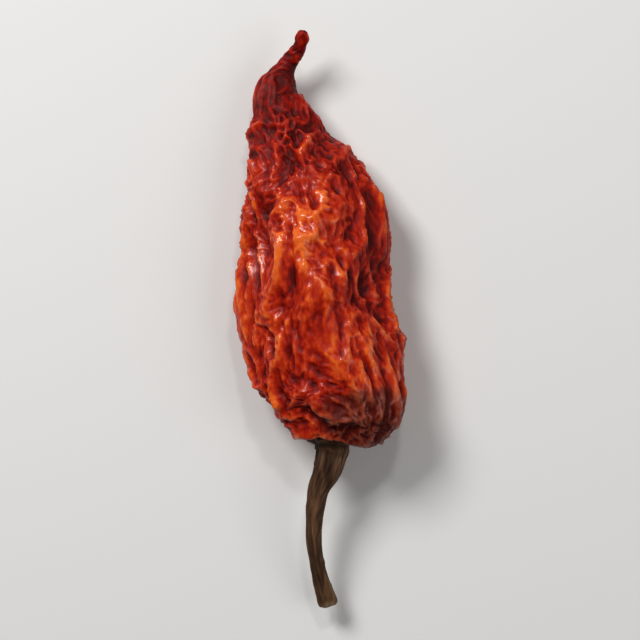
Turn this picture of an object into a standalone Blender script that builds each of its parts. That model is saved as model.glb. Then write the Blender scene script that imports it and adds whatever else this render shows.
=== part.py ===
"""A dried ghost pepper, whole, lying on its side as it would on a table.

It has two pieces: the shrivelled pod, and the stalk, whose lower end is the calyx that caps the pod.
Metres, +Z up. The tip of the pod points along +Y and the stalk along -Y, and the pod rests on z = 0.
"""

import bmesh
import bpy
import numpy as np

MM = 0.001

# The pod's middle line, from the stalk to the tip: x, y and height, in millimetres.
POD_LINE = [
    (1.0, 0.0, 8.1),
    (1.2, 6.0, 7.8),
    (-0.2, 13.5, 7.9),
    (-1.3, 21.0, 7.7),
    (-1.8, 28.5, 7.1),
    (-3.4, 35.0, 6.2),
    (-5.0, 40.0, 5.7),
    (-5.7, 43.8, 5.2),
    (-6.5, 46.6, 5.0),
    (-5.8, 49.2, 5.3),
    (-4.6, 51.2, 6.0),
    (-3.4, 53.0, 7.0),
    (-2.9, 54.6, 8.2),
]
# Half-width of the pod against the distance along its middle line, from the hollow under the calyx,
# over the shoulders and down the body to the thin twisted tail, in millimetres. The first points are
# the hollow.
POD_PROFILE = [
    (0.0, 1.7),
    (2.0, 1.3),
    (3.6, 0.4),
    (4.9, -0.2),
    (6.1, 1.2),
    (8.7, 3.9),
    (9.8, 8.2),
    (9.9, 15.0),
    (9.9, 21.5),
    (9.5, 27.0),
    (8.3, 32.5),
    (6.8, 37.2),
    (5.0, 41.2),
    (4.3, 44.2),
    (3.3, 46.6),
    (2.8, 48.4),
    (2.05, 50.1),
    (1.3, 51.5),
    (1.0, 52.9),
    (1.02, 54.4),
    (0.88, 55.7),
    (1.02, 56.8),
    (0.72, 57.6),
    (0.0, 58.0),
]
HOLLOW_POINTS = 4
HOLLOW_STEPS = 60
POD_ROWS = 72
POD_AROUND = 78

# How flat the pod has dried: its height over its width at the shoulders, along the body and at the tail,
# and while it was fresh. The spans are the distances over which one changes into the next.
SHOULDER_FLATNESS = 0.82
BODY_FLATNESS = 0.66
TAIL_FLATNESS = 0.95
FRESH_FLATNESS = 0.9
BODY_SPAN = (0.0, 9.0)
TAIL_SPAN = (33.0, 48.0)

# The three chambers of the fruit, which stand out as low lobes, most of all at the shoulders.
CHAMBERS = 3
BODY_LOBE = 0.05
SHOULDER_LOBE = 0.07
LOBE_DROOP = 0.6
LOBE_TURN = 0.3
LOBE_TWIST = 0.035
SHOULDER_TILT = 1.2
SHOULDER_SPAN = (1.0, 13.0)

# The wrinkles, each with its size across, its depth and its place in the noise, in millimetres. They run
# lengthwise, and they fade on the thin tail, where the radius is between the two given last.
WRINKLE_STRETCH = 1.6
BEND_SIZE = 5.5
BEND_DEPTH = 1.9
BEND_PLACES = (7.3, 14.6, 21.9)
HOLLOW_SIZE = 9.5
HOLLOW_DEPTH = 1.25
HOLLOW_PLACE = 3.1
FOLD_SIZE = 8.0
FOLD_DEPTH = 0.8
FOLD_PLACE = 40.7
CREASE_SIZE = 4.2
CREASE_DEPTH = 0.42
CREASE_PLACE = 5.0
NET_SIZE = 3.7
NET_DEPTH = 0.36
NET_WIDTH = 0.32
PIT_DEPTH = 0.6
PIT_RADIUS = 0.5
TAIL_WRINKLE = 0.2
TAIL_RADII = (1.5, 8.5)

# The table's height in the same measure as the middle line's. The bumps that would reach below it
# settled level on it as the pod dried.
TABLE_LEVEL = 1.1

# The calyx lies in the pod's hollow, with this gap: a low cone with five lobes and a rounded rim, out of
# which the stem grows. Within its reach, the skin is smooth under the first of the two radii and fully
# wrinkled from the second on.
CALYX_RADIUS = 3.1
CALYX_GAP = 0.4
CALYX_RIM = 0.5
CALYX_BULGE = 0.25
CALYX_RISE = 1.1
RISE_POWER = 1.1
CALYX_LOBES = 5
CALYX_LOBE = 0.09
CALYX_ROWS = 7
CALYX_TURN = 0.6
SMOOTH_RADII = (3.7, 6.4)
CALYX_REACH = 6.0

# The stalk's middle line past its straight neck, in millimetres, and its radius along the way.
NECK_START = 0.8
NECK_END = 1.8
STALK_LINE = [
    (0.3, -4.1, 8.3),
    (-0.9, -6.8, 8.1),
    (-1.5, -10.4, 7.6),
    (-1.4, -14.6, 6.7),
    (-0.7, -18.2, 5.6),
    (0.4, -21.8, 4.5),
]
STALK_PROFILE = [
    (2.25, 1.4),
    (2.05, 2.1),
    (1.97, 2.9),
    (1.86, 3.9),
    (1.6, 5.4),
    (1.3, 8.3),
    (1.08, 11.0),
    (1.0, 14.5),
    (1.0, 18.5),
    (1.2, 22.0),
    (1.3, 23.2),
    (1.05, 23.7),
    (0.0, 23.5),
]
STALK_ROWS = 40
STALK_AROUND = 24
# Low ribs grow out of the calyx over this span and twist slowly along the stem, as many as the lobes.
STALK_RIB = 0.07
STALK_RIB_TWIST = 0.06
RIB_SPAN = (1.4, 4.0)

# The noise is made from random slopes and spots, the same on every run, and scaled to about -1 to 1.
NOISE_HEIGHT = 1.6
CREST_TOP = 0.7
CREST_SLOPE = 3.2
TABLE_ROWS = 256
RANDOM = np.random.RandomState(3)
SHUFFLE = RANDOM.permutation(TABLE_ROWS)
SLOPES = RANDOM.normal(size=(TABLE_ROWS, 3))
SLOPES /= np.linalg.norm(SLOPES, axis=1, keepdims=True)
SPOTS = RANDOM.random_sample((TABLE_ROWS, 3))


def ease(start, end, value):
    """0 before start, 1 after end, and a smooth S between them."""
    share = np.clip((value - start) / (end - start), 0, 1)
    return share * share * (3 - 2 * share)


def curve_through(points, steps=40):
    """Closely spaced points on the smooth Catmull-Rom curve through points, and the run along it."""
    points = np.array(points, float)
    ends = np.vstack([2 * points[0] - points[1], points, 2 * points[-1] - points[-2]])
    t = np.linspace(0, 1, steps, endpoint=False)[:, None]
    spans = []
    for a, b, c, d in zip(ends[:-3], ends[1:-2], ends[2:-1], ends[3:]):
        bend = (2 * a - 5 * b + 4 * c - d) * t**2 + (3 * b - a - 3 * c + d) * t**3
        spans.append(b + 0.5 * ((c - a) * t + bend))
    line = np.vstack([*spans, points[-1:]])
    run = np.concatenate([[0], np.cumsum(np.linalg.norm(np.diff(line, axis=0), axis=1))])
    return line, run


def evenly(points, count):
    """count points spaced evenly along the smooth curve through points."""
    line, run = curve_through(points)
    at = np.linspace(0, run[-1], count)
    return np.stack([np.interp(at, run, column) for column in line.T], axis=1)


def table_row(cell):
    """A row of the random tables for each cell of a lattice, the same on every run."""
    row = SHUFFLE[cell[..., 0] % TABLE_ROWS]
    row = SHUFFLE[(row + cell[..., 1]) % TABLE_ROWS]
    return SHUFFLE[(row + cell[..., 2]) % TABLE_ROWS]


def noise(points):
    """Smooth noise of about -1 to 1 with swells one unit across: eight sloping planes, one for each
    corner of the point's lattice cell, blended by an S-shaped weight along each axis."""
    cell = np.floor(points).astype(int)
    inside = points - cell
    weight = inside**3 * (inside * (inside * 6 - 15) + 10)
    total = np.zeros(points.shape[:-1])
    for corner in np.ndindex(2, 2, 2):
        slope = SLOPES[table_row(cell + corner)]
        height = ((inside - corner) * slope).sum(axis=-1)
        total += height * np.where(corner, weight, 1 - weight).prod(axis=-1)
    return NOISE_HEIGHT * total


def crest(points):
    """Sharp winding crests above wide troughs, about level on the whole: the nearer the noise is to zero,
    the higher."""
    return CREST_TOP - CREST_SLOPE * np.abs(noise(points))


def net(points, width):
    """A raised net of height 1 round rounded cells: high where a point is nearly as far from the
    nearest of the scattered spots as from the next. Each cell has a shallow pit in its middle."""
    cell = np.floor(points).astype(int)
    first = np.full(points.shape[:-1], np.inf)
    second = first.copy()
    for corner in np.ndindex(3, 3, 3):
        near_cell = cell + corner - 1
        away = np.linalg.norm(near_cell + SPOTS[table_row(near_cell)] - points, axis=-1)
        second = np.minimum(second, np.maximum(first, away))
        first = np.minimum(first, away)
    return np.exp(-(((second - first) / width) ** 2)) - PIT_DEPTH * ease(PIT_RADIUS, 0.0, first)


def shrivel(fresh):
    """How far the skin stands out, in millimetres, at each point of the straight fresh fruit."""
    grain = fresh / (1, 1, WRINKLE_STRETCH)
    bend = [noise(grain / BEND_SIZE + place) for place in BEND_PLACES]
    bent = grain + BEND_DEPTH * np.stack(bend, axis=-1)
    return (
        HOLLOW_DEPTH * noise(grain / HOLLOW_SIZE + HOLLOW_PLACE)
        + FOLD_DEPTH * crest(bent / FOLD_SIZE + FOLD_PLACE)
        + CREASE_DEPTH * crest(bent / CREASE_SIZE + CREASE_PLACE)
        + NET_DEPTH * net(bent / NET_SIZE, NET_WIDTH)
    )


def frames(line, run, station):
    """The point, side and up directions of a middle line at each station. The line runs on straight past
    its ends."""
    ahead = np.gradient(line, run, axis=0)
    point = np.stack([np.interp(station, run, column) for column in line.T], axis=-1)
    ahead = np.stack([np.interp(station, run, column) for column in ahead.T], axis=-1)
    ahead /= np.linalg.norm(ahead, axis=-1, keepdims=True)
    beyond = np.minimum(station, 0) + np.maximum(station - run[-1], 0)
    side = np.cross(ahead, (0, 0, 1))
    side /= np.linalg.norm(side, axis=-1, keepdims=True)
    return point + beyond[..., None] * ahead, side, np.cross(side, ahead)


def carried(line, run, station, angle, across, upward):
    """Points round a middle line: across it and upward from it by their own shares of the angle."""
    point, side, up = frames(line, run, station)
    return point + (across * np.cos(angle))[..., None] * side + (upward * np.sin(angle))[..., None] * up


def pod_flatness(station):
    """Height over width of the pod along its middle line."""
    body = ease(*BODY_SPAN, station)
    tail = ease(*TAIL_SPAN, station)
    dried = SHOULDER_FLATNESS + (BODY_FLATNESS - SHOULDER_FLATNESS) * body
    return dried + (TAIL_FLATNESS - BODY_FLATNESS) * tail


def pod_points(rows, around):
    """The pod's rings of points from the stalk to the tip, and the pole at each end, in millimetres."""
    profile = evenly(POD_PROFILE, rows)
    slope = np.gradient(profile, axis=0)
    slope /= np.linalg.norm(slope, axis=1, keepdims=True)
    radius, station = profile[1:-1].T[:, :, None]
    outward, endward = slope[1:-1, 1][:, None], -slope[1:-1, 0][:, None]
    angle = np.linspace(0, 2 * np.pi, around, endpoint=False)[None, :]

    shoulder = 1 - ease(*SHOULDER_SPAN, station)
    under_calyx = np.where(station < CALYX_REACH, ease(*SMOOTH_RADII, radius), 1.0)
    lobe = np.sin(CHAMBERS * (angle - LOBE_TURN - LOBE_TWIST * station))
    lobe_share = BODY_LOBE + (SHOULDER_LOBE - BODY_LOBE) * shoulder
    droop = (LOBE_DROOP * lobe + SHOULDER_TILT * np.cos(angle)) * shoulder * under_calyx

    fresh = np.stack(
        np.broadcast_arrays(radius * np.cos(angle), FRESH_FLATNESS * radius * np.sin(angle), station),
        axis=-1,
    )
    depth = TAIL_WRINKLE + (1 - TAIL_WRINKLE) * ease(*TAIL_RADII, radius)
    wrinkle = shrivel(fresh) * depth * under_calyx

    width = radius * (1 + lobe_share * lobe * under_calyx) + wrinkle * outward
    place = station + wrinkle * endward - droop
    line, run = curve_through(POD_LINE)
    rings = carried(line, run, place, angle, width, width * pod_flatness(station))
    poles, _, _ = frames(line, run, profile[[0, -1], 1])
    for points in (rings, poles):
        points[..., 2] = np.maximum(points[..., 2] - TABLE_LEVEL, 0)
    return rings, poles


def stalk_points(rows, around):
    """The stalk's rings, from the middle of the calyx's underside out to its rim, back over its top
    and along the stem, and the pole at each end, in millimetres. Heights run out of the pod."""
    angle = np.linspace(0, 2 * np.pi, around, endpoint=False)[None, :]
    hollow_radius, hollow_station = evenly(POD_PROFILE[:HOLLOW_POINTS], HOLLOW_STEPS).T
    pod_line, pod_run = curve_through(POD_LINE)
    root, _, _ = frames(pod_line, pod_run, np.array([0.0]))
    out = (pod_line[0] - pod_line[1]) / np.linalg.norm(pod_line[0] - pod_line[1])
    neck = [root[0] + NECK_START * out, root[0] + NECK_END * out]
    line, run = curve_through(np.vstack([neck, STALK_LINE]))

    rim = CALYX_RADIUS * (1 + CALYX_LOBE * np.cos(CALYX_LOBES * angle + CALYX_TURN))
    share = np.linspace(0, 1, CALYX_ROWS)[1:, None]
    under_radius = share * rim
    under = CALYX_GAP - np.interp(under_radius, hollow_radius, hollow_station)
    inner = STALK_PROFILE[0][0]
    over_radius = inner + (rim - inner) * share[::-1]
    swell = CALYX_RISE * (1 - (over_radius - inner) / (rim - inner)) ** RISE_POWER
    over = CALYX_GAP - np.interp(over_radius, hollow_radius, hollow_station) + CALYX_RIM + swell
    edge_radius = rim + CALYX_BULGE * CALYX_RIM
    edge = (under[-1:] + over[:1]) / 2

    profile = evenly(STALK_PROFILE, rows)[:-1]
    turn = CALYX_LOBES * (angle + STALK_RIB_TWIST * profile[:, 1:])
    ribs = 1 + STALK_RIB * ease(*RIB_SPAN, profile[:, 1:]) * np.cos(turn)
    stem_radius = profile[:, :1] * ribs
    stem = profile[:, 1:] + 0 * angle

    radius = np.vstack([under_radius, edge_radius, over_radius, stem_radius])
    height = np.vstack([under, edge, over, stem])
    rings = carried(line, run, height - NECK_START, angle, radius, SHOULDER_FLATNESS * radius)
    pole_heights = np.array([CALYX_GAP - hollow_station[0], STALK_PROFILE[-1][1]])
    poles, _, _ = frames(line, run, pole_heights - NECK_START)
    for points in (rings, poles):
        points[..., 2] -= TABLE_LEVEL
    return rings, poles


def closed_tube(name, rings, poles, material):
    """One closed body skinned over rings of points, with a fan of faces from each pole."""
    shape = bmesh.new()
    loops = [[shape.verts.new(point * MM) for point in ring] for ring in rings]
    first, last = (shape.verts.new(point * MM) for point in poles)
    count = len(loops[0])
    for here in range(count):
        onward = (here + 1) % count
        shape.faces.new((first, loops[0][here], loops[0][onward]))
        shape.faces.new((last, loops[-1][onward], loops[-1][here]))
        for low, high in zip(loops[:-1], loops[1:]):
            shape.faces.new((low[here], high[here], high[onward], low[onward]))
    bmesh.ops.recalc_face_normals(shape, faces=shape.faces)
    bmesh.ops.triangulate(shape, faces=shape.faces, quad_method="SHORT_EDGE")
    mesh = bpy.data.meshes.new(name)
    shape.to_mesh(mesh)
    shape.free()
    mesh.shade_smooth()
    mesh.materials.append(material)
    piece = bpy.data.objects.new(name, mesh)
    bpy.context.scene.collection.objects.link(piece)
    return piece


def plain_material(name, colour, roughness):
    """A material of one colour with no metal in it."""
    material = bpy.data.materials.new(name)
    material.use_nodes = True
    shader = material.node_tree.nodes["Principled BSDF"]
    shader.inputs["Base Color"].default_value = (*colour, 1)
    shader.inputs["Roughness"].default_value = roughness
    shader.inputs["Metallic"].default_value = 0
    return material


def main():
    for old in list(bpy.data.objects):
        bpy.data.objects.remove(old)
    pod_rings, pod_poles = pod_points(POD_ROWS, POD_AROUND)
    stalk_rings, stalk_poles = stalk_points(STALK_ROWS, STALK_AROUND)
    everything = np.vstack([pod_rings.reshape(-1, 3), stalk_rings.reshape(-1, 3)])
    middle = (everything.min(axis=0) + everything.max(axis=0)) / 2 * (1, 1, 0)
    skin = plain_material("dried_skin", (0.30, 0.022, 0.008), 0.35)
    bark = plain_material("dried_stalk", (0.13, 0.085, 0.04), 0.6)
    closed_tube("pod", pod_rings - middle, pod_poles - middle, skin)
    closed_tube("stalk", stalk_rings - middle, stalk_poles - middle, bark)


main()
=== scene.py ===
"""A dried ghost pepper, finished: its crinkled glossy pod and its ribbed woody stalk.

Both shapes are worked out in millimetres from the same middle lines, profiles and wrinkles as the
solids that they replace, on a finer grid and with finer wrinkles on top. They are then put into the
frame's metres.
"""

import bpy
import numpy as np
from bpy.props import FloatProperty, FloatVectorProperty, IntProperty, PointerProperty
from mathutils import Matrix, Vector


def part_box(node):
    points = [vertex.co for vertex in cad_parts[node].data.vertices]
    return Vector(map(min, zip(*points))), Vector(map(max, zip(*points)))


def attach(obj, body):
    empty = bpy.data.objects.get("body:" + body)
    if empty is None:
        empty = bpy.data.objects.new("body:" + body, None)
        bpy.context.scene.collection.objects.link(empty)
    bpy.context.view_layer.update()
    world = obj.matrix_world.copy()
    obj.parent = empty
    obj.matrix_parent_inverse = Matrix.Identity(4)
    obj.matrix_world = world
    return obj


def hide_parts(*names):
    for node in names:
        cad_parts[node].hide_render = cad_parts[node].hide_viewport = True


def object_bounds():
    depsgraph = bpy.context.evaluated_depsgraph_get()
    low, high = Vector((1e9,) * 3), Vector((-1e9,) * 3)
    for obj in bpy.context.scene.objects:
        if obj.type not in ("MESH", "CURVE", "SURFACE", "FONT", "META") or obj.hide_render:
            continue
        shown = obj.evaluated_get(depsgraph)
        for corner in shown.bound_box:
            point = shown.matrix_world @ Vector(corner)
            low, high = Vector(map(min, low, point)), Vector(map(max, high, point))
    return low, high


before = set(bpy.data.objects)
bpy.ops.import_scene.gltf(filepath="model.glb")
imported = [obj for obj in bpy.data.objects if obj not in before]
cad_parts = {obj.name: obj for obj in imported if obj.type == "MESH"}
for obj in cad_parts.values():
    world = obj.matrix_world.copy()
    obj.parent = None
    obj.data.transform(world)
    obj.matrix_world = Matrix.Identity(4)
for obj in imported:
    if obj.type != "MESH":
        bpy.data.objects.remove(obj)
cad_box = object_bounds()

bl_info = {
    "name": "Dried Ghost Pepper",
    "version": (1, 0, 0),
    "blender": (4, 5, 0),
    "location": "View3D > Sidebar > Ghost Pepper",
    "description": "Makes the pod and the stalk of a dried ghost pepper, on a plain stage",
    "category": "Add Mesh",
}

MM = 0.001

# The pod's middle line, from the stalk to the tip: x, y and height, in millimetres.
POD_LINE = [
    (1.0, 0.0, 8.1),
    (1.2, 6.0, 7.8),
    (-0.2, 13.5, 7.9),
    (-1.3, 21.0, 7.7),
    (-1.8, 28.5, 7.1),
    (-3.4, 35.0, 6.2),
    (-5.0, 40.0, 5.7),
    (-5.7, 43.8, 5.2),
    (-6.5, 46.6, 5.0),
    (-5.8, 49.2, 5.3),
    (-4.6, 51.2, 6.0),
    (-3.4, 53.0, 7.0),
    (-2.9, 54.6, 8.2),
]
# Half-width of the pod against the distance along its middle line, from the hollow under the calyx,
# over the shoulders and down the body to the thin twisted tail, in millimetres. The first points
# are the hollow.
POD_PROFILE = [
    (0.0, 1.7),
    (2.0, 1.3),
    (3.6, 0.4),
    (4.9, -0.2),
    (6.1, 1.2),
    (8.7, 3.9),
    (9.8, 8.2),
    (9.9, 15.0),
    (9.9, 21.5),
    (9.5, 27.0),
    (8.3, 32.5),
    (6.8, 37.2),
    (5.0, 41.2),
    (4.3, 44.2),
    (3.3, 46.6),
    (2.8, 48.4),
    (2.05, 50.1),
    (1.3, 51.5),
    (1.0, 52.9),
    (1.02, 54.4),
    (0.88, 55.7),
    (1.02, 56.8),
    (0.72, 57.6),
    (0.0, 58.0),
]
HOLLOW_POINTS = 4
HOLLOW_STEPS = 60
SOLID_ROWS = 72
SOLID_AROUND = 78

# How flat the pod has dried: its height over its width at the shoulders, along the body and at the
# tail, and while it was fresh. The spans are the distances over which one changes into the next.
SHOULDER_FLATNESS = 0.82
BODY_FLATNESS = 0.66
TAIL_FLATNESS = 0.95
FRESH_FLATNESS = 0.9
BODY_SPAN = (0.0, 9.0)
TAIL_SPAN = (33.0, 48.0)

# The three chambers of the fruit, which stand out as low lobes, most of all at the shoulders.
CHAMBERS = 3
BODY_LOBE = 0.05
SHOULDER_LOBE = 0.07
LOBE_DROOP = 0.6
LOBE_TURN = 0.3
LOBE_TWIST = 0.035
SHOULDER_TILT = 1.2
SHOULDER_SPAN = (1.0, 13.0)

# The wrinkles, each with its size across, its depth and its place in the noise, in millimetres.
# They run lengthwise, and they fade on the thin tail, where the radius is between the two given
# last.
WRINKLE_STRETCH = 1.6
BEND_SIZE = 5.5
BEND_DEPTH = 1.9
BEND_PLACES = (7.3, 14.6, 21.9)
HOLLOW_SIZE = 9.5
HOLLOW_DEPTH = 1.25
HOLLOW_PLACE = 3.1
FOLD_SIZE = 8.0
FOLD_DEPTH = 0.8
FOLD_PLACE = 40.7
CREASE_SIZE = 4.2
CREASE_DEPTH = 0.42
CREASE_PLACE = 5.0
NET_SIZE = 3.7
NET_DEPTH = 0.36
NET_WIDTH = 0.32
PIT_DEPTH = 0.6
PIT_RADIUS = 0.5
TAIL_WRINKLE = 0.2
TAIL_RADII = (1.5, 8.5)

# The table's height in the same measure as the middle line's. The bumps that would reach below it
# settled level on it as the pod dried.
TABLE_LEVEL = 1.1

# The calyx lies in the pod's hollow, with this gap: a low cone with five lobes and a rounded rim,
# out of which the stem grows. Within its reach, the skin is smooth under the first of the two radii
# and fully wrinkled from the second on.
CALYX_RADIUS = 3.1
CALYX_GAP = 0.4
CALYX_RIM = 0.5
CALYX_BULGE = 0.25
CALYX_RISE = 1.1
RISE_POWER = 1.1
CALYX_LOBES = 5
CALYX_LOBE = 0.09
CALYX_ROWS = 18
CALYX_TURN = 0.6
SMOOTH_RADII = (3.7, 6.4)
CALYX_REACH = 6.0

# The stalk's middle line past its straight neck, in millimetres, and its radius along the way.
NECK_START = 0.8
NECK_END = 1.8
STALK_LINE = [
    (0.3, -4.1, 8.3),
    (-0.9, -6.8, 8.1),
    (-1.5, -10.4, 7.6),
    (-1.4, -14.6, 6.7),
    (-0.7, -18.2, 5.6),
    (0.4, -21.8, 4.5),
]
STALK_PROFILE = [
    (2.25, 1.4),
    (2.05, 2.1),
    (1.97, 2.9),
    (1.86, 3.9),
    (1.6, 5.4),
    (1.3, 8.3),
    (1.08, 11.0),
    (1.0, 14.5),
    (1.0, 18.5),
    (1.2, 22.0),
    (1.3, 23.2),
    (1.05, 23.7),
    (0.0, 23.5),
]
# Low ribs grow out of the calyx over this span and twist slowly along the stem, as many as the
# lobes.
STALK_RIB = 0.07
STALK_RIB_TWIST = 0.06
RIB_SPAN = (1.4, 4.0)

# The noise is made from random slopes and spots, the same on every run, and scaled to about -1 to
# 1.
NOISE_HEIGHT = 1.6
CREST_TOP = 0.7
CREST_SLOPE = 3.2
TABLE_ROWS = 256
RANDOM = np.random.RandomState(3)
SHUFFLE = RANDOM.permutation(TABLE_ROWS)
SLOPES = RANDOM.normal(size=(TABLE_ROWS, 3))
SLOPES /= np.linalg.norm(SLOPES, axis=1, keepdims=True)
SPOTS = RANDOM.random_sample((TABLE_ROWS, 3))

# The finer wrinkles on top, which the solid leaves out: lengthwise flecks, a close net of pebbles
# and a grain of crinkles. They are bent with the large ones, twisted quickly, and come and go in
# strength.
FLECK_SIZE = 1.9
FLECK_STRETCH = 1.7
FLECK_PLACE = 11.0
PEBBLE_SIZE = 1.35
PEBBLE_WIDTH = 0.3
PEBBLE_PLACE = 3.5
CRINKLE_SIZE = 0.85
CRINKLE_PLACE = 23.0
TWIST_DEPTH = 0.45
TWIST_PLACES = (31.4, 47.1, 62.8)
STRENGTH = 0.65
STRENGTH_SWING = 0.55
STRENGTH_PLACE = 90.2
FINE_TAIL = 0.55
FINE_TAIL_RADII = (1.0, 5.0)
FINE_UNDER_CALYX = 0.3

# The stalk's fine grooves and low lumps, and how far they reach into its flat cut end.
GROOVE_SIZE = 0.55
GROOVE_STRETCH = 9.0
GROOVE_PLACE = 17.0
LUMP_SIZE = 3.0
LUMP_STRETCH = 1.3
LUMP_PLACE = 52.0
LUMP_SHARE = 0.9
END_RADII = (0.1, 0.8)
# The stalk is darkest up to the second of these distances from its root, and is its own colour past
# the first. Its cut end shows up to the second of the next two distances from its tip.
DARK_RADII = (15.0, 5.0)
CUT_RADII = (1.35, 0.9)

# Patches of skin in the shape's own millimetres, each with its middle, its half-sizes and how much
# it lightens the skin, where it is thin and orange, or darkens it. Two of the darkening ones are
# painted shade and shadow.
PATCHES_AND_SHADE = [
    ((-2.0, 29.5, 13.0), (4.6, 8.5, 7.0), 0.27),
    ((4.0, 12.0, 13.0), (7.0, 6.5, 7.0), 0.15),
    ((-7.5, 18.0, 9.0), (5.5, 13.0, 8.0), 0.14),
    # Painted shade and shadow down the right side of the body.
    ((7.4, 27.0, 10.0), (3.8, 9.0, 7.0), -0.10),
    ((-2.0, 41.0, 9.0), (9.0, 6.0, 8.0), -0.13),
    # The neck: darker skin, with a painted shadow over it as well.
    ((-6.0, 47.0, 6.0), (4.8, 5.2, 6.0), -0.22),
    ((-3.4, 54.0, 8.0), (4.0, 4.5, 5.0), -0.08),
]
# A patch is full up to the inner share of its half-sizes and gone at the outer one. The shoulder
# beside the stalk, which has dried brown and is darker there as painted shade too, is such a patch
# with a sharper edge.
PATCH_INNER = 0.25
PATCH_OUTER = 1.15
BROWN_INNER = 0.65
BROWN_MIDDLE = (5.6, 2.2, 10.0)
BROWN_HALF_SIZES = (7.2, 5.3, 14.0)
# What makes the patches' edges ragged: two noises, each with its depth, its size and its place.
PATCH_RAGS = ((0.30, 3.4, 71.0), (0.16, 1.3, 19.0))

# How crests are told from valleys, which the materials darken as painted shade: how many times the
# shape is smoothed to find the surface that they stand out of, and the height over it, in
# millimetres, of a full crest. For the pod's wrinkles and its large folds, and for the stalk's
# ribs.
CREST_RELIEF = (25, 0.20)
FOLD_RELIEF = (240, 0.9)
RIB_RELIEF = (12, 0.14)
# Keeps a direction of no length from being divided by zero.
TINY = 1e-12

# A material's tone runs from 0 in the valleys, which are darkened as painted shade, to 1 on the
# pale crests. It starts at a number, and takes shares of the piece's own values and of speckles. A
# speckle has its name, its scale to the metre, its stretch and its share.
SKIN_TONE = 0.02
# The crest and fold values darken the pod's valleys as painted shade and lighten its crests, partly
# as painted highlight.
CREST_SHADING_SHARE = 0.50
FOLD_SHADING_SHARE = 0.21
SKIN_SPECKLES = [
    ("mottle", 330.0, (1.0, 0.55, 1.0), 0.20),
    ("flecks", 800.0, (1.0, 0.4, 1.0), 0.27),
    ("grain", 1700.0, (1.0, 0.7, 1.0), 0.20),
]
BARK_TONE = 0.15
# The rib value darkens the stalk's grooves as painted shade.
RIB_SHADING_SHARE = 0.60
BARK_SPECKLES = [
    ("streaks", 900.0, (1.0, 0.14, 1.0), 0.40),
    ("blotches", 260.0, (1.0, 0.5, 1.0), 0.30),
]
DARK_SHARE = -0.03
# The part of a cloud pattern's range that is used.
CLOUD_RANGE = (0.3, 0.7)

# The tones at which each colour of a material is reached.
SKIN_STOPS = (0.08, 0.30, 0.48, 0.66, 0.90)
BROWN_STOPS = (0.10, 0.42, 0.85)
BARK_STOPS = (0.10, 0.45, 0.85)
# What changes with the tone: the two tones, and the roughness or the wax at each of them.
SKIN_ROUGHNESS = (0.2, 0.8, 0.52, 0.30)
SKIN_WAX = (0.42, 0.80, 0.0, 0.50)
BARK_ROUGHNESS = (0.1, 0.9, 0.78, 0.50)
# Patterns too fine for the mesh, each with its scale to the metre and its stretch, and how high
# they stand.
CREASE_PATTERN = (1100.0, (1.0, 0.6, 1.0))
CREASE_HEIGHT = 0.11 * MM
PORE_PATTERN = (2600.0, (1.0, 0.7, 1.0))
PORE_HEIGHT = 0.05 * MM
FIBRE_PATTERN = (3000.0, (1.0, 0.1, 1.0))
FIBRE_HEIGHT = 0.05 * MM
# How strongly the surfaces mirror, how blurred the wax is, and how far light goes into the skin.
SKIN_SPECULAR = 0.12
WAX_ROUGHNESS = 0.14
SKIN_DEPTH_SHARE = 0.10
SKIN_DEPTH_COLOUR = (1.0, 0.15, 0.05)
SKIN_DEPTH = 1.0 * MM
BARK_SPECULAR = 0.15
FLOOR_ROUGHNESS = 0.85

# The stage's lights, each with its name, its place and its width in metres and its power in watts,
# and the strength of the light from all round.
LIGHTS = [
    ("key", (-0.22, 0.26, 0.34), 0.16, 1.8),
    ("fill", (0.32, -0.05, 0.36), 0.30, 0.5),
    ("sparkle", (0.05, 0.30, 0.42), 0.05, 0.33),
]
WORLD_STRENGTH = 0.12

# Where a material's nodes are drawn: the first one's place, the steps to the right and down, and
# how many stand in a row.
NODE_START = (-1900, 500)
NODE_STEP = (240, -180)
NODES_IN_ROW = 8


def ease(start, end, value):
    """0 before start, 1 after end, and a smooth S between them."""
    share = np.clip((value - start) / (end - start), 0, 1)
    return share * share * (3 - 2 * share)


def curve_through(points, steps=40):
    """Closely spaced points on the smooth Catmull-Rom curve through points, and the run along
    it."""
    points = np.array(points, float)
    ends = np.vstack([2 * points[0] - points[1], points, 2 * points[-1] - points[-2]])
    t = np.linspace(0, 1, steps, endpoint=False)[:, None]
    spans = []
    for a, b, c, d in zip(ends[:-3], ends[1:-2], ends[2:-1], ends[3:]):
        bend = (2 * a - 5 * b + 4 * c - d) * t**2 + (3 * b - a - 3 * c + d) * t**3
        spans.append(b + 0.5 * ((c - a) * t + bend))
    line = np.vstack([*spans, points[-1:]])
    run = np.concatenate([[0], np.cumsum(np.linalg.norm(np.diff(line, axis=0), axis=1))])
    return line, run


def evenly(points, count):
    """count points spaced evenly along the smooth curve through points."""
    line, run = curve_through(points)
    at = np.linspace(0, run[-1], count)
    return np.stack([np.interp(at, run, column) for column in line.T], axis=1)


def table_row(cell):
    """A row of the random tables for each cell of a lattice, the same on every run."""
    row = SHUFFLE[cell[..., 0] % TABLE_ROWS]
    row = SHUFFLE[(row + cell[..., 1]) % TABLE_ROWS]
    return SHUFFLE[(row + cell[..., 2]) % TABLE_ROWS]


def noise(points):
    """Smooth noise of about -1 to 1 with swells one unit across: eight sloping planes, one for each
    corner of the point's lattice cell, blended by an S-shaped weight along each axis."""
    cell = np.floor(points).astype(int)
    inside = points - cell
    weight = inside**3 * (inside * (inside * 6 - 15) + 10)
    total = np.zeros(points.shape[:-1])
    for corner in np.ndindex(2, 2, 2):
        slope = SLOPES[table_row(cell + corner)]
        height = ((inside - corner) * slope).sum(axis=-1)
        total += height * np.where(corner, weight, 1 - weight).prod(axis=-1)
    return NOISE_HEIGHT * total


def crest(points):
    """Sharp winding crests above wide troughs, about level on the whole: the nearer the noise is to
    zero, the higher."""
    return CREST_TOP - CREST_SLOPE * np.abs(noise(points))


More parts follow.
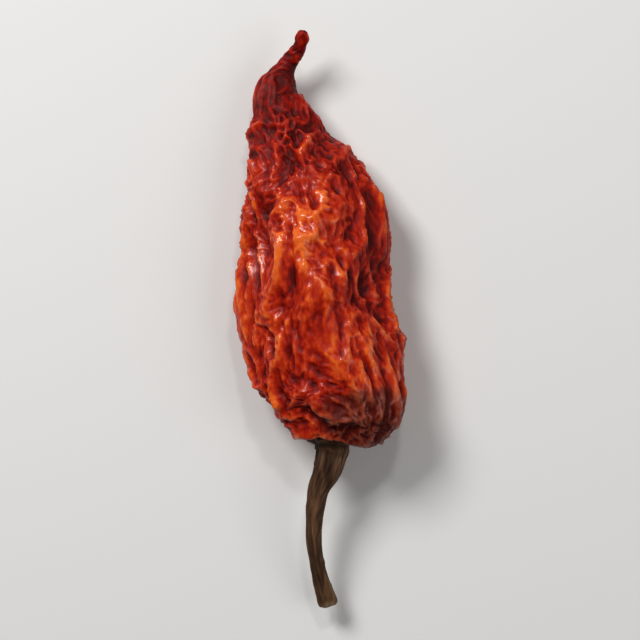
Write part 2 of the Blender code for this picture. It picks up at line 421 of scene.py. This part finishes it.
def net(points, width):
    """A raised net of height 1 round rounded cells: high where a point is nearly as far from the
    nearest of the scattered spots as from the next. Each cell has a shallow pit in its middle."""
    cell = np.floor(points).astype(int)
    first = np.full(points.shape[:-1], np.inf)
    second = first.copy()
    for corner in np.ndindex(3, 3, 3):
        near_cell = cell + corner - 1
        away = np.linalg.norm(near_cell + SPOTS[table_row(near_cell)] - points, axis=-1)
        second = np.minimum(second, np.maximum(first, away))
        first = np.minimum(first, away)
    return np.exp(-(((second - first) / width) ** 2)) - PIT_DEPTH * ease(PIT_RADIUS, 0.0, first)


def bent_grain(fresh):
    """Where the wrinkles are looked up: the straight fresh fruit's points, shortened so that the
    wrinkles run lengthwise, and the same points bent by a slow noise so that they wind."""
    grain = fresh / (1, 1, WRINKLE_STRETCH)
    bend = [noise(grain / BEND_SIZE + place) for place in BEND_PLACES]
    return grain, grain + BEND_DEPTH * np.stack(bend, axis=-1)


def shrivel(fresh):
    """How far the skin stands out, in millimetres, at each point of the straight fresh fruit."""
    grain, bent = bent_grain(fresh)
    return (
        HOLLOW_DEPTH * noise(grain / HOLLOW_SIZE + HOLLOW_PLACE)
        + FOLD_DEPTH * crest(bent / FOLD_SIZE + FOLD_PLACE)
        + CREASE_DEPTH * crest(bent / CREASE_SIZE + CREASE_PLACE)
        + NET_DEPTH * net(bent / NET_SIZE, NET_WIDTH)
    )


def crinkle(fresh, fleck_depth, pebble_depth, crinkle_depth):
    """How far the finer wrinkles stand out: lengthwise flecks and a close net that come and go
    together, and a grain of crinkles, all bent like the large wrinkles and twisted by a quicker
    noise."""
    grain, bent = bent_grain(fresh)
    twist = [noise(grain / FLECK_SIZE + place) for place in TWIST_PLACES]
    bent = bent + TWIST_DEPTH * np.stack(twist, axis=-1)
    strength = STRENGTH + STRENGTH_SWING * noise(grain / BEND_SIZE + STRENGTH_PLACE)
    flecks = crest(bent / (FLECK_SIZE, FLECK_SIZE, FLECK_SIZE * FLECK_STRETCH) + FLECK_PLACE)
    pebbles = net(bent / PEBBLE_SIZE + PEBBLE_PLACE, PEBBLE_WIDTH)
    fine = crest(bent / CRINKLE_SIZE + CRINKLE_PLACE)
    return strength * (fleck_depth * flecks + pebble_depth * pebbles) + crinkle_depth * fine


def together(*columns):
    """Points from separate arrays of their coordinates."""
    return np.stack(np.broadcast_arrays(*columns), axis=-1)


def frames(line, run, station):
    """The point, side and up directions of a middle line at each station. The line runs on straight
    past its ends."""
    ahead = np.gradient(line, run, axis=0)
    point = np.stack([np.interp(station, run, column) for column in line.T], axis=-1)
    ahead = np.stack([np.interp(station, run, column) for column in ahead.T], axis=-1)
    ahead /= np.linalg.norm(ahead, axis=-1, keepdims=True)
    beyond = np.minimum(station, 0) + np.maximum(station - run[-1], 0)
    side = np.cross(ahead, (0, 0, 1))
    side /= np.linalg.norm(side, axis=-1, keepdims=True)
    return point + beyond[..., None] * ahead, side, np.cross(side, ahead)


def carried(line, run, station, angle, across, upward):
    """Points round a middle line: across it and upward from it by their own shares of the angle."""
    point, side, up = frames(line, run, station)
    sideways = (across * np.cos(angle))[..., None] * side
    return point + sideways + (upward * np.sin(angle))[..., None] * up


def pod_flatness(station):
    """Height over width of the pod along its middle line."""
    body = ease(*BODY_SPAN, station)
    tail = ease(*TAIL_SPAN, station)
    dried = SHOULDER_FLATNESS + (BODY_FLATNESS - SHOULDER_FLATNESS) * body
    return dried + (TAIL_FLATNESS - BODY_FLATNESS) * tail


def pod_points(rows, around, fine_depths=None):
    """The pod's rings of points from the stalk to the tip, and the pole at each end, in
    millimetres: the profile turned round the middle line, with its lobes, and moved along the
    profile's normal by the wrinkles. fine_depths are the depths of the finer wrinkles."""
    profile = evenly(POD_PROFILE, rows)
    slope = np.gradient(profile, axis=0)
    slope /= np.linalg.norm(slope, axis=1, keepdims=True)
    radius, station = profile[1:-1].T[:, :, None]
    outward, endward = slope[1:-1, 1][:, None], -slope[1:-1, 0][:, None]
    angle = np.linspace(0, 2 * np.pi, around, endpoint=False)[None, :]

    shoulder = 1 - ease(*SHOULDER_SPAN, station)
    under_calyx = np.where(station < CALYX_REACH, ease(*SMOOTH_RADII, radius), 1.0)
    lobe = np.sin(CHAMBERS * (angle - LOBE_TURN - LOBE_TWIST * station))
    lobe_share = BODY_LOBE + (SHOULDER_LOBE - BODY_LOBE) * shoulder
    droop = (LOBE_DROOP * lobe + SHOULDER_TILT * np.cos(angle)) * shoulder * under_calyx

    fresh = together(radius * np.cos(angle), FRESH_FLATNESS * radius * np.sin(angle), station)
    depth = TAIL_WRINKLE + (1 - TAIL_WRINKLE) * ease(*TAIL_RADII, radius)
    wrinkle = shrivel(fresh) * depth * under_calyx
    if fine_depths:
        fine_share = FINE_TAIL + (1 - FINE_TAIL) * ease(*FINE_TAIL_RADII, radius)
        fine_share = fine_share * (FINE_UNDER_CALYX + (1 - FINE_UNDER_CALYX) * under_calyx)
        wrinkle += crinkle(fresh, *fine_depths) * fine_share

    width = radius * (1 + lobe_share * lobe * under_calyx) + wrinkle * outward
    place = station + wrinkle * endward - droop
    line, run = curve_through(POD_LINE)
    rings = carried(line, run, place, angle, width, width * pod_flatness(station))
    poles, _, _ = frames(line, run, profile[[0, -1], 1])
    for points in (rings, poles):
        points[..., 2] = np.maximum(points[..., 2] - TABLE_LEVEL, 0)
    return rings, poles


def stalk_points(rows, around, groove_depth):
    """The stalk's rings, from the middle of the calyx's underside out to its rim, back over its top
    and along the stem, and the pole at each end, in millimetres. Heights run out of the pod. Five
    ribs twist slowly round the stem, with fine grooves and low lumps of groove_depth."""
    angle = np.linspace(0, 2 * np.pi, around, endpoint=False)[None, :]
    hollow_radius, hollow_station = evenly(POD_PROFILE[:HOLLOW_POINTS], HOLLOW_STEPS).T
    pod_line, pod_run = curve_through(POD_LINE)
    root, _, _ = frames(pod_line, pod_run, np.array([0.0]))
    out = (pod_line[0] - pod_line[1]) / np.linalg.norm(pod_line[0] - pod_line[1])
    neck = [root[0] + NECK_START * out, root[0] + NECK_END * out]
    line, run = curve_through(np.vstack([neck, STALK_LINE]))

    rim = CALYX_RADIUS * (1 + CALYX_LOBE * np.cos(CALYX_LOBES * angle + CALYX_TURN))
    share = np.linspace(0, 1, CALYX_ROWS)[1:, None]
    under_radius = share * rim
    under = CALYX_GAP - np.interp(under_radius, hollow_radius, hollow_station)
    inner = STALK_PROFILE[0][0]
    over_radius = inner + (rim - inner) * share[::-1]
    swell = CALYX_RISE * (1 - (over_radius - inner) / (rim - inner)) ** RISE_POWER
    over = CALYX_GAP - np.interp(over_radius, hollow_radius, hollow_station) + CALYX_RIM + swell
    edge_radius = rim + CALYX_BULGE * CALYX_RIM
    edge = (under[-1:] + over[:1]) / 2

    profile = evenly(STALK_PROFILE, rows)[:-1]
    turn = CALYX_LOBES * (angle + STALK_RIB_TWIST * profile[:, 1:])
    ribs = 1 + STALK_RIB * ease(*RIB_SPAN, profile[:, 1:]) * np.cos(turn)
    stem = profile[:, 1:] + 0 * angle
    spot = together(profile[:, :1] * np.cos(angle), profile[:, :1] * np.sin(angle), stem)
    grooves = crest(spot / (GROOVE_SIZE, GROOVE_SIZE, GROOVE_SIZE * GROOVE_STRETCH) + GROOVE_PLACE)
    lumps = noise(spot / (LUMP_SIZE, LUMP_SIZE, LUMP_SIZE * LUMP_STRETCH) + LUMP_PLACE)
    wall = groove_depth * ease(*END_RADII, profile[:, :1])
    stem_radius = profile[:, :1] * ribs + wall * (grooves + LUMP_SHARE * lumps)

    radius = np.vstack([under_radius, edge_radius, over_radius, stem_radius])
    height = np.vstack([under, edge, over, stem])
    rings = carried(line, run, height - NECK_START, angle, radius, SHOULDER_FLATNESS * radius)
    pole_heights = np.array([CALYX_GAP - hollow_station[0], STALK_PROFILE[-1][1]])
    poles, _, _ = frames(line, run, pole_heights - NECK_START)
    for points in (rings, poles):
        points[..., 2] -= TABLE_LEVEL
    return rings, poles


def smoothed(rings, passes):
    """The rings with each point moved to the mean of itself and its four neighbours, passes
    times."""
    for _ in range(passes):
        low = np.concatenate([rings[:1], rings[:-1]])
        high = np.concatenate([rings[1:], rings[-1:]])
        rings = (rings + low + high + np.roll(rings, 1, axis=1) + np.roll(rings, -1, axis=1)) / 5
    return rings


def relief(rings, passes, height):
    """0 in the valleys, 1 on the crests: how far each point stands out of the smoothed surface,
    along that surface's normal, as a share of height."""
    base = smoothed(rings, passes)
    along = np.gradient(base, axis=0)
    round_it = np.roll(base, -1, axis=1) - np.roll(base, 1, axis=1)
    normal = np.cross(along, round_it)
    normal /= np.linalg.norm(normal, axis=-1, keepdims=True) + TINY
    middle = base.mean(axis=1, keepdims=True)
    if ((base - middle) * normal).sum() < 0:
        normal = -normal
    stands = ((rings - base) * normal).sum(axis=-1)
    return np.clip(0.5 + 0.5 * stands / height, 0, 1)


def blot(rings, middle, half_sizes, inner=PATCH_INNER):
    """1 up to the inner share of a patch's half-sizes, falling smoothly to 0 outside them, with a
    ragged edge."""
    away = np.linalg.norm((rings - middle) / half_sizes, axis=-1)
    ragged = away + sum(depth * noise(rings / size + place) for depth, size, place in PATCH_RAGS)
    return ease(PATCH_OUTER, inner, ragged)


def rings_mesh(name, rings, poles, shift, values):
    """A closed mesh over rings of points, with a fan of faces from each pole and faces pointing
    out. shift is added in millimetres. values are named numbers for each point, stored as
    attributes."""
    count, around, _ = rings.shape
    points = (np.vstack([rings.reshape(-1, 3), poles]) + shift) * MM
    here = np.arange(around)
    onward = np.roll(here, -1)
    row = (np.arange(count - 1) * around)[:, None]
    quads = np.stack(
        [row + here, row + around + here, row + around + onward, row + onward], axis=-1
    ).reshape(-1, 4)
    first, last = count * around, count * around + 1
    end = (count - 1) * around
    first_fan = np.stack([here, onward, np.full(around, first)], axis=-1)
    last_fan = np.stack([end + onward, end + here, np.full(around, last)], axis=-1)
    faces = [*quads.tolist(), *first_fan.tolist(), *last_fan.tolist()]
    mesh = bpy.data.meshes.new(name)
    mesh.from_pydata(points.tolist(), [], faces)
    for label, value in values.items():
        ends = [value[0].mean(), value[-1].mean()]
        layer = mesh.attributes.new(label, "FLOAT", "POINT")
        layer.data.foreach_set("value", np.concatenate([value.ravel(), ends]).astype(np.float32))
    mesh.shade_smooth()
    if mesh.validate():
        raise RuntimeError(f"{name}: the mesh had broken faces")
    return mesh


def face_out(mesh):
    """Turns every face over if the mesh's signed volume, the sum over its faces, is negative."""
    mesh.calc_loop_triangles()
    corners = np.empty(len(mesh.vertices) * 3)
    mesh.vertices.foreach_get("co", corners)
    corners = corners.reshape(-1, 3)
    index = np.empty(len(mesh.loop_triangles) * 3, dtype=np.int32)
    mesh.loop_triangles.foreach_get("vertices", index)
    a, b, c = corners[index.reshape(-1, 3).T]
    if (a * np.cross(b, c)).sum() < 0:
        mesh.flip_normals()


def put_in_place(name, mesh, material, node):
    """Shows a finished mesh in place of the solid of the same piece."""
    face_out(mesh)
    mesh.materials.append(material)
    piece = bpy.data.objects.new(name, mesh)
    bpy.context.scene.collection.objects.link(piece)
    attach(piece, "root")
    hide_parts(node)


def frame_shift():
    """From the shapes' own millimetres to the frame's: the solid pod's lowest corner in the frame,
    less the lowest corner of the same formula at the solid's own fineness."""
    rings, poles = pod_points(SOLID_ROWS, SOLID_AROUND)
    own = np.vstack([rings.reshape(-1, 3), poles]).min(axis=0)
    return np.array(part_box("pod")[0]) / MM - own


class Shader:
    """A new material's nodes, added from left to right."""

    def __init__(self, name):
        self.material = bpy.data.materials.new(name)
        self.material.use_nodes = True
        self.tree = self.material.node_tree
        self.surface = self.tree.nodes["Principled BSDF"]

    def add(self, kind, label, inputs=None, **settings):
        """Adds a node with its settings and inputs. An input may be a number or another node's
        output."""
        node = self.tree.nodes.new(kind)
        node.label = label
        down, right = divmod(len(self.tree.nodes), NODES_IN_ROW)
        node.location = (NODE_START[0] + NODE_STEP[0] * right, NODE_START[1] + NODE_STEP[1] * down)
        for key, value in settings.items():
            setattr(node, key, value)
        for key, value in (inputs or {}).items():
            self.join(node.inputs[key], value)
        return node

    def join(self, socket, value):
        """Links another node's output to a socket, or sets it to a number or a colour."""
        if isinstance(value, bpy.types.NodeSocket):
            self.tree.links.new(value, socket)
        elif socket.type == "RGBA":
            socket.default_value = (*value, 1.0)
        else:
            socket.default_value = value

    def value_of(self, attribute):
        """The number stored at each point of the mesh under this name."""
        return self.add("ShaderNodeAttribute", attribute, attribute_name=attribute).outputs["Fac"]

    def sum_of(self, label, first, second, share=1.0):
        """first plus share times second."""
        inputs = {0: second, 1: share, 2: first}
        return self.add("ShaderNodeMath", label, inputs, operation="MULTIPLY_ADD").outputs[0]

    def remap(self, label, value, low, high, to_low, to_high):
        """to_low where value is low, to_high where it is high, and evenly between them."""
        inputs = {"Value": value, "From Min": low, "From Max": high}
        inputs.update({"To Min": to_low, "To Max": to_high})
        return self.add("ShaderNodeMapRange", label, inputs).outputs["Result"]

    def mix(self, label, share, first, second):
        """The first colour where share is 0, the second where it is 1."""
        node = self.add("ShaderNodeMix", label, data_type="RGBA")
        self.join(node.inputs["Factor"], share)
        self.join(node.inputs["A"], first)
        self.join(node.inputs["B"], second)
        return node.outputs["Result"]

    def ramp(self, label, value, stops):
        """Colours by value: stops are places from 0 to 1, each with a colour."""
        node = self.add("ShaderNodeValToRGB", label, {"Fac": value})
        elements = node.color_ramp.elements
        for _ in stops[2:]:
            elements.new(1.0)
        for element, (place, colour) in zip(elements, stops):
            element.position = place
            element.color = (*colour, 1.0)
        return node.outputs["Color"]

    def speckle(self, label, scale, stretch):
        """A cloudy pattern from about -0.5 to 0.5, scale to the metre."""
        cloud = self.pattern("ShaderNodeTexNoise", label, scale, stretch)
        return self.remap(label, cloud.outputs["Fac"], *CLOUD_RANGE, -0.5, 0.5)

    def speckled(self, tone, speckles):
        """The tone with each speckle's share added."""
        for label, scale, stretch, share in speckles:
            tone = self.sum_of(label, tone, self.speckle(label, scale, stretch), share)
        return tone

    def pattern(self, kind, label, scale, stretch, **settings):
        """A noise or cell pattern on the piece's own coordinates: its scale is to the metre, and it
        is drawn out along the axes where stretch is under 1."""
        place = self.add("ShaderNodeTexCoord", label).outputs["Object"]
        turned = self.add("ShaderNodeMapping", label, {"Vector": place, "Scale": stretch})
        inputs = {"Vector": turned.outputs["Vector"], "Scale": scale}
        return self.add(kind, label, inputs, **settings)

    def bump(self, label, height, distance, below=None):
        """A normal tilted by a height from 0 to 1 that stands for a distance, on top of another
        normal."""
        inputs = {"Height": height, "Distance": distance, "Strength": 1.0}
        if below is not None:
            inputs["Normal"] = below
        return self.add("ShaderNodeBump", label, inputs).outputs["Normal"]


def skin_material(settings):
    """Dried skin: darkened as painted shade in the valleys and the large folds, deep red on the
    slopes and orange on the crests, which are thin skin and painted highlight both, lighter where
    it is thin, with painted shadow on two patches, brown on one shoulder with painted shade there
    too, speckled all over, and waxy on the crests."""
    shader = Shader("dried_skin")
    # Painted shade in the valleys and folds, and painted highlight with the thin skin on the
    # crests.
    tone = shader.sum_of("crests", SKIN_TONE, shader.value_of("crest"), CREST_SHADING_SHARE)
    tone = shader.sum_of("folds", tone, shader.value_of("fold_shading"), FOLD_SHADING_SHARE)
    tone = shader.sum_of("patches", tone, shader.value_of("patch"))
    tone = shader.speckled(tone, SKIN_SPECKLES)
    colours = [
        settings.shaded_valley_colour,
        settings.slope_colour,
        settings.skin_colour,
        settings.crest_colour,
        settings.fleck_colour,
    ]
    skin = shader.ramp("skin", tone, list(zip(SKIN_STOPS, colours)))
    # The brown shoulder's skin, whose darkness is partly painted shade.
    colours = [settings.shaded_valley_colour, settings.brown_and_shade_colour, settings.brown_crest_colour]
    brown_skin = shader.ramp("brown skin", tone, list(zip(BROWN_STOPS, colours)))
    surface = shader.surface.inputs
    both_skins = shader.mix("brown", shader.value_of("brown"), skin, brown_skin)
    shader.join(surface["Base Color"], both_skins)
    shader.join(surface["Roughness"], shader.remap("waxy crests", tone, *SKIN_ROUGHNESS))
    shader.join(surface["Coat Weight"], shader.remap("wax", tone, *SKIN_WAX))
    creases = shader.pattern(
        "ShaderNodeTexVoronoi", "creases", *CREASE_PATTERN, feature="SMOOTH_F1"
    )
    pores = shader.pattern("ShaderNodeTexNoise", "pores", *PORE_PATTERN)
    creased = shader.bump("creases", creases.outputs["Distance"], CREASE_HEIGHT)
    shader.join(surface["Normal"], shader.bump("pores", pores.outputs["Fac"], PORE_HEIGHT, creased))
    surface["Specular IOR Level"].default_value = SKIN_SPECULAR
    surface["Coat Roughness"].default_value = WAX_ROUGHNESS
    surface["Subsurface Weight"].default_value = SKIN_DEPTH_SHARE
    surface["Subsurface Radius"].default_value = SKIN_DEPTH_COLOUR
    surface["Subsurface Scale"].default_value = SKIN_DEPTH
    return shader.material


def stalk_material(settings):
    """Dry stalk: dark olive brown with paler ribs, painted shade in the grooves between them,
    lengthwise streaks, blotches and a dull surface."""
    shader = Shader("dried_stalk")
    # The rib value paints shade into the grooves.
    tone = shader.sum_of("ribs", BARK_TONE, shader.value_of("crest"), RIB_SHADING_SHARE)
    tone = shader.speckled(tone, BARK_SPECKLES)
    tone = shader.sum_of("dark root", tone, shader.value_of("dark"), DARK_SHARE)
    colours = [settings.shaded_groove_colour, settings.bark_colour, settings.rib_colour]
    bark = shader.ramp("bark", tone, list(zip(BARK_STOPS, colours)))
    surface = shader.surface.inputs
    bark_and_cut = shader.mix("cut", shader.value_of("cut"), bark, settings.cut_colour)
    shader.join(surface["Base Color"], bark_and_cut)
    shader.join(surface["Roughness"], shader.remap("dull grooves", tone, *BARK_ROUGHNESS))
    fibres = shader.pattern("ShaderNodeTexNoise", "fibres", *FIBRE_PATTERN)
    shader.join(surface["Normal"], shader.bump("fibres", fibres.outputs["Fac"], FIBRE_HEIGHT))
    surface["Specular IOR Level"].default_value = BARK_SPECULAR
    return shader.material


def floor_material(settings):
    """Plain pale matt floor."""
    shader = Shader("pale_floor")
    shader.join(shader.surface.inputs["Base Color"], settings.floor_colour)
    shader.surface.inputs["Roughness"].default_value = FLOOR_ROUGHNESS
    return shader.material


def soft_light(name, place, aim, size, power):
    """A square light of this size in metres that faces a point."""
    light = bpy.data.lights.new(name, "AREA")
    light.size = size
    light.energy = power
    lamp = bpy.data.objects.new(name, light)
    lamp.location = place
    lamp.rotation_euler = (aim - Vector(place)).to_track_quat("-Z", "Y").to_euler()
    bpy.context.scene.collection.objects.link(lamp)


def colour(name, description, default):
    """A setting that is a colour."""
    return FloatVectorProperty(
        name=name, description=description, subtype="COLOR", default=default, min=0, max=1
    )


def length(name, description, default, precision=5):
    """A setting that is a length in metres."""
    return FloatProperty(
        name=name,
        description=description,
        default=default,
        precision=precision,
        subtype="DISTANCE",
        unit="LENGTH",
    )


class PepperPodSettings(bpy.types.PropertyGroup):
    """Fineness, finer wrinkles and colours of the pod."""

    rows: IntProperty(
        name="Rings",
        description="Rings of points from the stalk to the tip",
        default=380,
        min=40,
        max=380,
    )
    around: IntProperty(
        name="Points Around", description="Points in each ring", default=260, min=24, max=260
    )
    fleck_depth: length("Fleck Depth", "Height of the lengthwise flecks", 0.26 * MM)
    pebble_depth: length("Pebble Depth", "Height of the close net between the pebbles", 0.18 * MM)
    crinkle_depth: length("Crinkle Depth", "Height of the finest wrinkles", 0.16 * MM)
    # Painted shade: the dark colour that the valleys take.
    shaded_valley_colour: colour("Valleys", "Skin at the bottom of the wrinkles", (0.070, 0.0012, 0.0004))
    slope_colour: colour("Slopes", "Skin on the sides of the wrinkles", (0.21, 0.0035, 0.0007))
    skin_colour: colour("Skin", "Most of the skin", (0.37, 0.012, 0.0014))
    # The crests' colour is thin skin and painted highlight both.
    crest_colour: colour("Crests", "Skin on the crests", (0.52, 0.034, 0.004))
    fleck_colour: colour("Flecks", "The palest flecks, where the skin is thin", (0.78, 0.13, 0.014))
    # Brown dried skin, darkened further as painted shade.
    brown_and_shade_colour: colour(
        "Brown Shoulder", "The shoulder that has dried brown", (0.088, 0.0048, 0.0016)
    )
    brown_crest_colour: colour(
        "Brown Crests", "The crests on the brown shoulder", (0.34, 0.058, 0.024)
    )


class PepperStalkSettings(bpy.types.PropertyGroup):
    """Fineness, grooves and colours of the stalk."""

    rows: IntProperty(
        name="Rings", description="Rings of points along the stem", default=190, min=20, max=400
    )
    around: IntProperty(
        name="Points Around", description="Points in each ring", default=110, min=12, max=200
    )
    groove_depth: length("Groove Depth", "Depth of the fine grooves along the stem", 0.12 * MM)
    # Painted shade: the dark colour in the grooves.
    shaded_groove_colour: colour("Grooves", "Bottom of the grooves", (0.012, 0.0052, 0.0024))
    bark_colour: colour("Bark", "Most of the stalk", (0.058, 0.0245, 0.0100))
    rib_colour: colour("Ribs", "The crests of the ribs", (0.175, 0.088, 0.042))
    cut_colour: colour("Cut End", "The pale broken end", (0.20, 0.135, 0.075))


class PepperStageSettings(bpy.types.PropertyGroup):
    """Floor, light and camera."""

    floor_colour: colour("Floor", "Colour of the plain floor", (0.80, 0.79, 0.77))
    floor_size: length("Floor Size", "Width of the floor", 3.0, precision=2)
    camera_height: length("Camera Height", "Height of the camera over the floor", 0.5, precision=2)
    view_margin: FloatProperty(
        name="Margin",
        description="Width of the view over the object's length",
        default=1.12,
        min=1.0,
    )


class PEPPER_OT_pod(bpy.types.Operator):
    """Makes the shrivelled pod with its fine wrinkles and glossy skin"""

    bl_idname = "pepper.pod"
    bl_label = "Make Pod"

    def execute(self, context):
        settings = context.scene.pepper_pod
        depths = (settings.fleck_depth, settings.pebble_depth, settings.crinkle_depth)
        rings, poles = pod_points(settings.rows, settings.around, [depth / MM for depth in depths])
        patch = sum(strength * blot(rings, middle, half) for middle, half, strength in PATCHES_AND_SHADE)
        values = {
            "crest": relief(rings, *CREST_RELIEF),
            "fold_shading": relief(rings, *FOLD_RELIEF),
            "patch": patch,
            "brown": blot(rings, BROWN_MIDDLE, BROWN_HALF_SIZES, BROWN_INNER),
        }
        mesh = rings_mesh("wrinkled_pod", rings, poles, frame_shift(), values)
        put_in_place("wrinkled_pod", mesh, skin_material(settings), "pod")
        return {"FINISHED"}


class PEPPER_OT_stalk(bpy.types.Operator):
    """Makes the calyx and the ribbed stalk that grows out of it"""

    bl_idname = "pepper.stalk"
    bl_label = "Make Stalk"

    def execute(self, context):
        settings = context.scene.pepper_stalk
        rings, poles = stalk_points(settings.rows, settings.around, settings.groove_depth / MM)
        from_end = np.linalg.norm(rings - poles[1], axis=-1)
        from_root = np.linalg.norm(rings - poles[0], axis=-1)
        values = {
            "crest": relief(rings, *RIB_RELIEF),
            "cut": ease(*CUT_RADII, from_end),
            "dark": ease(*DARK_RADII, from_root),
        }
        mesh = rings_mesh("woody_stalk", rings, poles, frame_shift(), values)
        put_in_place("woody_stalk", mesh, stalk_material(settings), "stalk")
        return {"FINISHED"}


class PEPPER_OT_stage(bpy.types.Operator):
    """Sets up the plain floor, the soft light and the camera that looks straight down"""

    bl_idname = "pepper.stage"
    bl_label = "Make Stage"

    def execute(self, context):
        settings = context.scene.pepper_stage
        low, high = (Vector(corner) for corner in cad_box)
        middle = (low + high) / 2
        half = settings.floor_size / 2
        mesh = bpy.data.meshes.new("floor")
        corners = [(-half, -half, 0), (half, -half, 0), (half, half, 0), (-half, half, 0)]
        mesh.from_pydata(corners, [], [(0, 1, 2, 3)])
        mesh.materials.append(floor_material(settings))
        floor = bpy.data.objects.new("floor", mesh)
        context.scene.collection.objects.link(floor)

        world = bpy.data.worlds.new("studio")
        world.use_nodes = True
        background = world.node_tree.nodes["Background"].inputs
        background["Color"].default_value = (1, 1, 1, 1)
        background["Strength"].default_value = WORLD_STRENGTH
        context.scene.world = world
        for name, place, size, power in LIGHTS:
            soft_light(name, place, middle, size, power)

        camera = bpy.data.cameras.new("camera")
        view_width = (high.y - low.y) * settings.view_margin
        camera.lens = camera.sensor_width * settings.camera_height / view_width
        viewer = bpy.data.objects.new("camera", camera)
        viewer.location = (middle.x, middle.y, settings.camera_height)
        context.scene.collection.objects.link(viewer)
        context.scene.camera = viewer
        context.scene.view_settings.view_transform = "Standard"
        return {"FINISHED"}


class PEPPER_PT_make(bpy.types.Panel):
    """Buttons and settings of the dried ghost pepper"""

    bl_label = "Dried Ghost Pepper"
    bl_space_type = "VIEW_3D"
    bl_region_type = "UI"
    bl_category = "Ghost Pepper"

    def draw(self, context):
        for operator, settings in STEPS:
            box = self.layout.box()
            box.operator(operator)
            group = getattr(context.scene, settings)
            for key in group.__annotations__:
                box.prop(group, key)


STEPS = [
    ("pepper.pod", "pepper_pod"),
    ("pepper.stalk", "pepper_stalk"),
    ("pepper.stage", "pepper_stage"),
]
CLASSES = [
    PepperPodSettings,
    PepperStalkSettings,
    PepperStageSettings,
    PEPPER_OT_pod,
    PEPPER_OT_stalk,
    PEPPER_OT_stage,
    PEPPER_PT_make,
]


def register():
    for made in CLASSES:
        bpy.utils.register_class(made)
    bpy.types.Scene.pepper_pod = PointerProperty(type=PepperPodSettings)
    bpy.types.Scene.pepper_stalk = PointerProperty(type=PepperStalkSettings)
    bpy.types.Scene.pepper_stage = PointerProperty(type=PepperStageSettings)


def unregister():
    del bpy.types.Scene.pepper_stage
    del bpy.types.Scene.pepper_stalk
    del bpy.types.Scene.pepper_pod
    for made in reversed(CLASSES):
        bpy.utils.unregister_class(made)


def main():
    register()
    bpy.ops.pepper.pod()
    bpy.ops.pepper.stalk()
    bpy.ops.pepper.stage()


if __name__ == "__main__":
    main()
